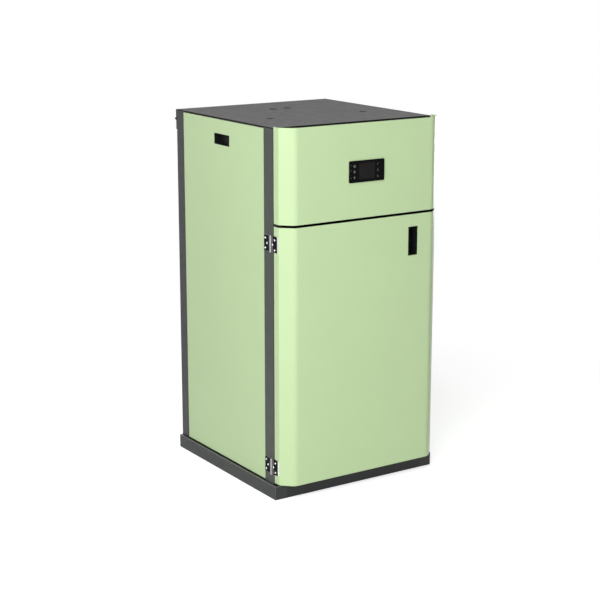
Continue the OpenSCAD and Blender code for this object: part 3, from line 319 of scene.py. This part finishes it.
def rope(name):
    """Braided glass-fibre cord of a door gasket: two crossing bands of strands."""
    p = Mat(name, Metallic=0.0, Sheen_Weight=0.3, Specular_IOR_Level=0.25)
    x, z = p.axis(X), p.axis(Z)
    strands = 1100.0
    a = p.math("SINE", p.math("MULTIPLY", p.math("ADD", x, z), strands))
    b = p.math("SINE", p.math("MULTIPLY", p.math("SUBTRACT", x, z), strands))
    weave = p.either(a, b)
    c = p.mix(p.remap(weave, 0, 1, -0.3, 1.0), (0.30, 0.28, 0.25, 1), (0.74, 0.71, 0.65, 1))
    p.set("Base Color", p.mix(p.remap(p.noise(28, 4), 0.0, 0.5, 0.5, 0.8), c, (0.22, 0.19, 0.16, 1)))
    p.set("Roughness", p.remap(p.noise(80, 3), 0.85, 0.98))
    return p.done(p.bump(weave, 0.7, 0.6 * mm))


def glossy_paint(name, color):
    """Sprayed gloss enamel, as on pumps and vessels."""
    p = Mat(name, Metallic=0.0, Coat_Weight=0.5, Coat_Roughness=0.06)
    p.set("Base Color", p.mix(p.remap(p.noise(12, 4), 0, 1), scaled(color, 0.85), scaled(color, 1.1)))
    p.set("Roughness", p.remap(p.noise(60, 4), 0.17, 0.30))
    return p.done(p.bump(p.noise(260, 2), 0.25, 0.15 * mm, p.soft(1.0 * mm)))


def hinge_steel(name, barrel_r=7 * mm):
    """Black leaves with a rolled barrel of uncoated steel, and a thin strip of that steel painted on as a
    highlight along the upper ends of the fixed leaves.
    """
    p = Mat(name, Specular_IOR_Level=0.02)
    dx = p.math("SUBTRACT", p.axis(X), HINGE_AXIS[0])
    dy = p.math("SUBTRACT", p.axis(Y), HINGE_AXIS[1])
    r = p.math("SQRT", p.math("ADD", p.math("MULTIPLY", dx, dx), p.math("MULTIPLY", dy, dy)))
    steel_and_highlight = p.math("LESS_THAN", r, barrel_r)
    # painted highlight: a thin strip of steel along the upper end of each fixed leaf
    for middle in HINGE_Z:
        behind = p.math("GREATER_THAN", p.axis(Y), HINGE_AXIS[1] + barrel_r)
        steel_and_highlight = p.either(steel_and_highlight, p.both(p.near(Z, middle + HINGE_HALF, 0.9 * mm), behind))
    lines = p.noise(1.0, 4, 0.6, p.stretch(700, 700, 20))
    steel = p.mix(p.remap(lines, 0, 1), (0.22, 0.22, 0.225, 1), (0.42, 0.42, 0.43, 1))
    black = p.mix(p.remap(p.noise(90, 3), 0, 1), (0.006, 0.0065, 0.007, 1), (0.012, 0.0125, 0.014, 1))
    p.set("Base Color", p.mix(steel_and_highlight, black, steel))
    p.set("Metallic", steel_and_highlight)
    p.set("Roughness", p.math("ADD", p.remap(lines, 0.30, 0.42), p.math("MULTIPLY", steel_and_highlight, 0.06)))
    return p.done(p.bump(lines, 0.1, 0.06 * mm, p.soft(0.5 * mm)))


# one material per slot of the record
M = {
    "green_paint": powder_coat(
        "green_powder_coat", srgb(188, 211, 164), vary=0.012, coat=0.0, gloss=0.2, painted_light=shell_slit_shade),
    "grey_lid_paint": powder_coat(
        "grey_structure_coat", srgb(90, 90, 90), rough=0.55, peel=0.8, coat=0.0, grain=520, gloss=0.1,
        painted_light=lid_edge_shade),
    "post_paint": powder_coat(
        "post_powder_coat", srgb(65, 69, 64), rough=0.42, coat=0.0, gloss=0.25, painted_light=post_rear_shade),
    "plinth_paint": powder_coat(
        "plinth_powder_coat", srgb(50, 52, 52), rough=0.45, coat=0.0, edge=1.4 * mm, gloss=0.25,
        painted_light=plinth_shade_and_highlight),
    "rear_paint": powder_coat("rear_powder_coat", srgb(84, 86, 86), rough=0.45, coat=0.0, gloss=0.3),
    "zinc_sheet": galvanised("zinc_spangle", (0.50, 0.51, 0.52, 1)),
    "boiler_paint": sooty("boiler_heatproof_paint", (0.050, 0.050, 0.052, 1)),
    "cast_iron": cast("cast_iron_skin", (0.045, 0.045, 0.047, 1)),
    "smoke_sheet": sooty("smoke_side_paint", (0.085, 0.085, 0.088, 1), amount=0.3),
    "scale_steel": brushed("scaled_steel", (0.24, 0.225, 0.21, 1), "z", rough=0.55, metallic=0.8),
    "stainless": brushed("stainless_drawn", (0.58, 0.58, 0.57, 1), "x", rough=0.26),
    "hinge_black": hinge_steel("hinge_black_and_bright"),
    "bright_steel": polished("bright_steel", (0.78, 0.78, 0.77, 1), rough=0.12),
    "black_plastic": moulded("black_moulded_plastic", (0.007, 0.009, 0.0085, 1), gloss=0.12),
    "gloss_black": moulded(
        "gloss_black_plastic", (0.0030, 0.0027, 0.0028, 1), rough=0.3, depth=0.05, gloss=0.05),
    "screen_glass": moulded(
        "unlit_screen", (0.008, 0.007, 0.0075, 1), rough=0.22, depth=0.02, gloss=0.1),
    "rubber": rubbery("seal_rubber", (0.018, 0.018, 0.018, 1)),
    "gasket_rope": rope("gasket_braid"),
    "ceramic": moulded("igniter_ceramic", (0.72, 0.69, 0.62, 1), rough=0.35, grain=300, depth=0.15),
    "motor_black": powder_coat("motor_black_coat", (0.030, 0.031, 0.034, 1), rough=0.38, vary=0.1),
    "pipe_brass": brushed("machined_brass", (0.72, 0.52, 0.24, 1), "y", rough=0.25),
    "pump_red": glossy_paint("pump_enamel", (0.30, 0.025, 0.022, 1)),
    "vessel_red": glossy_paint("vessel_enamel", (0.46, 0.020, 0.015, 1)),
}
for s in frame["record"]["subparts"]:
    o = NODES[s["node"]]
    o.data.materials.clear()
    o.data.materials.append(M[s["material_slot"]])

# the lid hinges sit away from the door hinges' axis, so they get a plain black coat, and what stands
# behind the slit of the front gets a dull black one as painted shade for the slit
lid_hinge = powder_coat("lid_hinge_black", (0.020, 0.021, 0.022, 1), rough=0.3, coat=0.2)
liner_shade_black = powder_coat(
    "liner_shade_black", (0.018, 0.018, 0.019, 1), rough=0.6, coat=0.0, gloss=0.04, painted_light=liner_slit_shade)
for names, material in ((("lid_hinge_brackets", "lid_hinge_straps"), lid_hinge),
                        (("door_liner", "front_crossbars", "door_magnet"), liner_shade_black)):
    for name in names:
        NODES[name].data.materials[0] = material

# ---------------------------------------------------------------- mesh pieces


def piece(name, verts, faces, mat, body, slot, smooth=True):
    """A mesh object with its material that rides on a body; the slot argument is not used."""
    me = bpy.data.meshes.new(name)
    me.from_pydata([tuple(v) for v in verts], [], faces)
    me.validate()
    me.update()
    if smooth:
        me.polygons.foreach_set("use_smooth", [True] * len(me.polygons))
    me.materials.append(mat)
    o = bpy.data.objects.new(name, me)
    bpy.context.scene.collection.objects.link(o)
    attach(o, body)
    return o


def merge(parts):
    """One list of vertices and one of faces from several parts."""
    verts, faces = [], []
    for v, f in parts:
        k = len(verts)
        verts += v
        faces += [tuple(i + k for i in q) for q in f]
    return verts, faces


def moved(part, at, z_to, turn=0.0):
    """A part drawn along +Z, set at a point with +Z turned to the direction z_to."""
    rot = Vector(UP).rotation_difference(Vector(z_to)).to_matrix() @ Matrix.Rotation(turn, 3, "Z")
    return [rot @ v + Vector(at) for v in part[0]], part[1]


def ring_faces(rings, n):
    """Faces between closed rings of n vertices each, from the first ring to the last."""
    return [(k * n + i, k * n + (i + 1) % n, (k + 1) * n + (i + 1) % n, (k + 1) * n + i)
            for k in range(rings - 1) for i in range(n)]


def circle(segs):
    """Cosine and sine of each step round a full turn."""
    steps = [2 * math.pi * i / segs for i in range(segs)]
    return [(math.cos(a), math.sin(a)) for a in steps]


def screw_head(r, h):
    """Low pan head with a cross recess, from polar rings."""
    rings, segs = 12, 48
    profile = [(r, -0.4 * mm), (r, h * 0.35), (r * 0.97, h * 0.6), (r * 0.9, h * 0.8)]
    edge_rings = len(profile)
    for k in range(rings):
        q = 0.84 * (1 - k / rings)
        profile.append((r * q, h * (1 - 0.2 * q * q)))
    slot_half, slot_end, slope = 0.17 * r, 0.62 * r, 0.2 * r
    verts = []
    for n, (ring_r, z) in enumerate(profile):
        for c, s in circle(segs):
            x, y, depth = ring_r * c, ring_r * s, 0.0
            if n >= edge_rings and min(abs(x), abs(y)) < slot_half and ring_r < slot_end:
                depth = h * 0.75 * min(1, (slot_end - ring_r) / slope)
            verts.append(Vector((x, y, z - depth)))
    verts.append(Vector((0, 0, profile[-1][1] - h * 0.7)))
    last = (len(profile) - 1) * segs
    cap = [(last + i, last + (i + 1) % segs, len(verts) - 1) for i in range(segs)]
    return verts, ring_faces(len(profile), segs) + cap


def screws(spots, r, h, z_to):
    """Screw heads at points, each turned by chance."""
    return [moved(screw_head(r, h), at, z_to, random.uniform(0, 1.5)) for at in spots]


def lathe(profile, segs=48):
    """Profile of (r, z) turned round Z and closed with a flat end, from the bottom rim to the top."""
    verts = [Vector((r * c, r * s, z)) for r, z in profile for c, s in circle(segs)]
    last = (len(profile) - 1) * segs
    return verts, ring_faces(len(profile), segs) + [tuple(last + i for i in range(segs))]


def ribbon(points, width, height):
    """A flat raised line along points, with mitred corners, closed round its edge."""
    pts = [Vector((p[0], p[1])) for p in points]
    n = len(pts)
    left, right = [], []
    for i in range(n):
        a, b = pts[max(i - 1, 0)], pts[min(i + 1, n - 1)]
        d1 = (pts[i] - a).normalized() if i > 0 else (b - pts[i]).normalized()
        d2 = (b - pts[i]).normalized() if i < n - 1 else d1
        t = (d1 + d2).normalized()
        nrm = Vector((-t.y, t.x))
        k = width / 2 / max(0.35, abs(nrm.dot(Vector((-d1.y, d1.x)))))
        left.append(pts[i] + nrm * k)
        right.append(pts[i] - nrm * k)
    verts = [Vector((p.x, p.y, z)) for z in (0, height) for s in (left, right) for p in s]
    faces = []
    for i in range(n - 1):
        a, b, c, d = i, i + 1, n + i + 1, n + i
        faces += [(a + 2 * n, d + 2 * n, c + 2 * n, b + 2 * n), (a, b, b + 2 * n, a + 2 * n),
                  (d, d + 2 * n, c + 2 * n, c), (a, d, c, b)]
    faces += [(0, 2 * n, 3 * n, n), (n - 1, 2 * n - 1, 4 * n - 1, 3 * n - 1)]
    return verts, faces


def arc(cx, cy, r, a0, a1, n=20):
    """Points of an arc between two angles in degrees."""
    steps = [math.radians(a0 + (a1 - a0) * i / n) for i in range(n + 1)]
    return [(cx + r * math.cos(a), cy + r * math.sin(a)) for a in steps]


bright = polished("screw_zinc", (0.80, 0.80, 0.79, 1), rough=0.16)
dark_screw = polished("screw_black_zinc", (0.10, 0.10, 0.105, 1), rough=0.3)

# hinge screws: three in each leaf, the middle one apart from the others
for name, body, outer_y, middle_y in (("hinge_screws_fixed", "cabinet", -0.2585, -0.2690),
                                      ("hinge_screws_moving", "door", -0.3120, -0.3005)):
    spots = [(-0.302, y, z + dz * mm) for z in (0.104, 0.823)
             for y, dz in ((outer_y, 15.5), (middle_y, 0.0), (outer_y, -15.5))]
    piece(name, *merge(screws(spots, 3.4 * mm, 1.7 * mm, LEFT)), bright, body, "bright_steel")


# bright steel plates that show in front of the moving leaves
def rounded_plate(w, h, t, r):
    """Plate in X and Y with round corners and an eased upper edge, from z 0 to t."""
    ease, steps = 0.25 * mm, 6
    outline = []
    for cx, cy, a in ((w / 2 - r, h / 2 - r, 0), (-w / 2 + r, h / 2 - r, 90),
                      (-w / 2 + r, -h / 2 + r, 180), (w / 2 - r, -h / 2 + r, 270)):
        outline += [(cx, cy, math.radians(a + 90 * i / steps)) for i in range(steps + 1)]
    verts = []
    for off, z in ((0, 0), (0, t - ease), (-ease * 0.3, t - ease * 0.3), (-ease, t)):
        verts += [Vector((cx + (r + off) * math.cos(a), cy + (r + off) * math.sin(a), z))
                  for cx, cy, a in outline]
    m = len(outline)
    ends = [tuple(3 * m + i for i in range(m)), tuple(m - 1 - i for i in range(m))]
    return verts, ring_faces(4, m) + ends


plates = [moved(rounded_plate(48 * mm, 9.6 * mm, 1.0 * mm, 1.2 * mm), (-0.300, -0.326, z), LEFT)
          for z in HINGE_Z]
piece("hinge_bright_plates", *merge(plates), bright, "door", "bright_steel")

# lid plugs, the rear two larger than the front two
plug, plug_faces = lathe([(r * mm, z * mm) for r, z in (
    (11.6, -0.2), (11.6, 0.3), (11.2, 0.7), (9.8, 1.05), (7.6, 1.15), (6.8, 0.8), (4.5, 0.7), (1.2, 0.7))])
plugs = []
for x, y, width in ((-27.5, 130, 1.2), (27.5, 130, 1.2), (-180, -93.5, 1.0), (180, -93.5, 1.0)):
    wide = [Vector((v.x * width, v.y * width, v.z)) for v in plug]
    plugs.append(moved((wide, plug_faces), (x * mm, y * mm, LID_TOP), UP))
piece("lid_plugs", *merge(plugs), moulded("plug_grey_plastic", (0.016, 0.016, 0.016, 1), gloss=0.05),
      "lid", "black_plastic", smooth=False)


# black strips in the rubber material under the lid's side edges, above the side panels: painted shade in
# the gap
def edge_strip(side):
    """Strip along Y: a flat back against the lid, a round nose and a hollow lower lip."""
    lo, hi = (corner.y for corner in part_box("side_panel_left"))
    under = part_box("top_lid")[1].z - 2.5 * mm
    outline = [(299.2, 0), (299.4, -0.5), (299.5, -1.4), (299.4, -2.3), (299.0, -2.9), (298.3, -3.1),
               (297.6, -2.9), (297.2, -2.2), (296.6, -1.2), (294.0, -1.0), (293.6, -0.5), (293.6, 0)]
    n, steps = len(outline), 24
    verts = [Vector((side * x * mm, lo + (hi - lo) * k / steps, under + z * mm))
             for k in range(steps + 1) for x, z in outline]
    ends = [tuple(reversed(range(n))), tuple(steps * n + i for i in range(n))]
    faces = ring_faces(steps + 1, n) + ends
    return verts, [tuple(reversed(f)) for f in faces] if side > 0 else faces


piece("lid_edge_shade_strips", *merge([edge_strip(s) for s in (-1, 1)]), M["rubber"], "lid", "rubber",
      smooth=False)

# key symbols, plain and generic: per key the shift from its middle and the lines, both in mm
icons = {
    1: (-3.0, [arc(0, 0, 3.2, 130, 410), [(0, 0.4), (0, 3.6)]]),
    2: (-3.0, [[(-3, 2.6), (3, 2.6)], [(-3, 0), (3, 0)], [(-3, -2.6), (3, -2.6)]]),
    3: (-3.0, [[(1.6, 3.4), (-2.0, 0), (1.6, -3.4)], [(-2.0, 0), (3.2, 0)]]),
    4: (-2.5, [arc(1.5, -1, 4.2, 95, 200), [(1.2, 3.2), (4.5, 3.2)]]),
    5: (-2.5, [arc(1.0, 0, 3.6, 90, 270), [(0, 0), (4.5, 0)]]),
    6: (-2.5, [arc(1.5, 1, 4.2, 160, 265), [(1.2, -3.2), (4.5, -3.2)]]),
}
ink = moulded("key_print", (0.38, 0.37, 0.38, 1), rough=0.5, depth=0.02)
dim_ink = moulded("key_print_dim", (0.20, 0.16, 0.18, 1), rough=0.5, depth=0.02)


def printed(lines, at, width):
    """Raised print on a face that looks along -Y; lines and width in mm."""
    parts = []
    for line in lines:
        v, f = ribbon([(x * mm, y * mm) for x, y in line], width * mm, 0.12 * mm)
        raised = [Vector((p.x + at[0], at[1] - p.z, p.y + at[2])) for p in v]
        parts.append((raised, [tuple(reversed(q)) for q in f]))
    return merge(parts)


for k, (shift, lines) in icons.items():
    lo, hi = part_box(f"key_{k}")
    at = ((lo.x + hi.x) / 2 + shift * mm, lo.y, (lo.z + hi.z) / 2)
    piece(f"key_symbol_{k}", *printed(lines, at, 0.95), ink if k < 4 else dim_ink, f"key_{k}",
          "gloss_black", smooth=False)
lo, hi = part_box("display_bezel")
dashes = [[(-61.5, z), (-58.5, z)] for z in (20.5, 4.5, -19.0)]
piece("display_print", *printed(dashes, (0, lo.y, (lo.z + hi.z) / 2), 1.2), dim_ink, "cabinet",
      "gloss_black", smooth=False)

# rear panel screws: both sides from the bottom to the top, then the lower and the upper edge
spots = [(x, REAR_FACE, z) for z in (0.075, 0.30, 0.55, 0.80, 1.14) for x in (-0.256, 0.256)]
spots += [(x, REAR_FACE, z) for z in (0.075, 1.14) for x in (-0.16, 0.0, 0.16)]
piece("rear_panel_screws", *merge(screws(spots, 4.2 * mm, 2.2 * mm, REAR)), dark_screw, "cabinet",
      "bright_steel")


# pipe threads: V rings with a lead, over the last 15 mm of both ends
def thread(r, length, pitch, segs=40):
    """One V thread wound round Z, with a run-in and a run-out of one turn each."""
    verts, faces = [], []
    n = int(length / pitch * segs)
    foot, crest = 0.02 * mm, 0.62 * mm
    for i in range(n + 1):
        a, z = 2 * math.pi * i / segs, pitch * i / segs
        top = crest * min(1, i / segs, (n - i) / segs) + 0.03 * mm
        for dr, dz in ((foot, -0.46), (top, -0.06), (top, 0.06), (foot, 0.46)):
            verts.append(Vector(((r + dr) * math.cos(a), (r + dr) * math.sin(a), z + dz * pitch)))
    for i in range(n):
        for k in range(3):
            faces.append((i * 4 + k, i * 4 + 4 + k, i * 4 + 5 + k, i * 4 + 1 + k))
    return verts, faces


threads = [moved(thread(13.2 * mm, 15 * mm, 1.81 * mm), (0.190, 0.3235, z), REAR)
           for z in (0.720, 0.300)]
piece("pipe_threads", *merge(threads), M["pipe_brass"], "cabinet", "pipe_brass")

# ---------------------------------------------------------------- stage, lights and camera


def fresh_tree(owner):
    owner.use_nodes = True
    owner.node_tree.nodes.clear()
    return owner.node_tree


def mix_shaders(tree, factor, first, second):
    n = tree.nodes.new("ShaderNodeMixShader")
    tree.links.new(factor, n.inputs[0])
    tree.links.new(first.outputs[0], n.inputs[1])
    tree.links.new(second.outputs[0], n.inputs[2])
    return n


def seen_white(tree, shaded, seen):
    """Mix two shaders: camera, glossy and transmission rays meet the second, all others the first."""
    path = tree.nodes.new("ShaderNodeLightPath")
    white = path.outputs["Is Camera Ray"]
    for k in ("Is Glossy Ray", "Is Transmission Ray"):
        n = tree.nodes.new("ShaderNodeMath")
        n.operation = "MAXIMUM"
        tree.links.new(white, n.inputs[0])
        tree.links.new(path.outputs[k], n.inputs[1])
        white = n.outputs[0]
    return mix_shaders(tree, white, shaded, seen)


def emission(tree, strength):
    n = tree.nodes.new("ShaderNodeEmission")
    n.inputs["Strength"].default_value = strength
    return n


def floor_material():
    """White that shows the object's shadow near it and turns plain white further out."""
    mat = bpy.data.materials.new("white_floor")
    t = fresh_tree(mat)
    diffuse = t.nodes.new("ShaderNodeBsdfDiffuse")
    diffuse.inputs["Color"].default_value = (0.80, 0.80, 0.80, 1)
    near = t.nodes.new("ShaderNodeAddShader")
    t.links.new(diffuse.outputs[0], near.inputs[0])
    t.links.new(emission(t, 0.62).outputs[0], near.inputs[1])
    place = t.nodes.new("ShaderNodeTexCoord")
    reach = t.nodes.new("ShaderNodeVectorMath")
    reach.operation = "LENGTH"
    t.links.new(place.outputs["Object"], reach.inputs[0])
    fade = t.nodes.new("ShaderNodeMapRange")
    for socket, radius in ((1, 0.9), (2, 1.7)):
        fade.inputs[socket].default_value = radius
    t.links.new(reach.outputs["Value"], fade.inputs[0])
    ground = mix_shaders(t, fade.outputs[0], near, emission(t, 1.0))
    out = t.nodes.new("ShaderNodeOutputMaterial")
    t.links.new(seen_white(t, diffuse, ground).outputs[0], out.inputs["Surface"])
    return mat


FLOOR_HALF, FLOOR_Z = 9, -0.5 * mm
corners = [(x * FLOOR_HALF, y * FLOOR_HALF, FLOOR_Z) for x, y in ((-1, -1), (1, -1), (1, 1), (-1, 1))]
me = bpy.data.meshes.new("floor")
me.from_pydata(corners, [], [(0, 1, 2, 3)])
me.materials.append(floor_material())
floor = bpy.data.objects.new("floor", me)
bpy.context.scene.collection.objects.link(floor)

world = bpy.data.worlds.new("studio")
bpy.context.scene.world = world
t = fresh_tree(world)
backs = []
for strength in (0.11, 1.0):
    b = t.nodes.new("ShaderNodeBackground")
    b.inputs["Color"].default_value = (1, 1, 1, 1)
    b.inputs["Strength"].default_value = strength
    backs.append(b)
out = t.nodes.new("ShaderNodeOutputWorld")
t.links.new(seen_white(t, *backs).outputs[0], out.inputs["Surface"])


def area(name, azimuth, elevation, distance, size, energy, target=(0, 0, 0.6)):
    """Soft box seen from its target at an azimuth to the left of -Y and an elevation, in degrees."""
    a, e = math.radians(azimuth), math.radians(elevation)
    d = Vector((-math.sin(a) * math.cos(e), -math.cos(a) * math.cos(e), math.sin(e)))
    light = bpy.data.lights.new(name, "AREA")
    light.shape = "RECTANGLE"
    light.size, light.size_y = size
    light.energy = energy
    o = bpy.data.objects.new(name, light)
    o.location = Vector(target) + d * distance
    o.rotation_euler = d.to_track_quat("Z", "Y").to_euler()
    bpy.context.scene.collection.objects.link(o)


area("key", 50, 26, 4.6, (2.8, 3.4), 202, target=(0, 0, 0.75))
area("front_fill", 18, 1, 4.2, (2.4, 2.4), 53, target=(0.15, 0, 0.05))
area("top", -20, 80, 3.6, (3.0, 3.0), 15)
area("right_fill", -124, 2, 5.0, (2.0, 2.0), 84)
area("rear_fill", -172, 4, 5.0, (2.0, 2.0), 66)

# the photograph's camera, as solved from the cabinet's corners
CAMERA_PLACE = (-2.7125, -4.1444, 1.7472)
CAMERA_DOWN, CAMERA_RIGHT = 13.608, 33.146
cam_data = bpy.data.cameras.new("camera")
cam_data.sensor_fit = "HORIZONTAL"
cam_data.sensor_width = 36
cam_data.lens = 90.788
cam_data.clip_end = 60
cam = bpy.data.objects.new("camera", cam_data)
cam.location = CAMERA_PLACE
cam.rotation_euler = (math.radians(90 - CAMERA_DOWN), 0, math.radians(-CAMERA_RIGHT))
bpy.context.scene.collection.objects.link(cam)
bpy.context.scene.camera = cam
bpy.context.scene.view_settings.view_transform = "Standard"
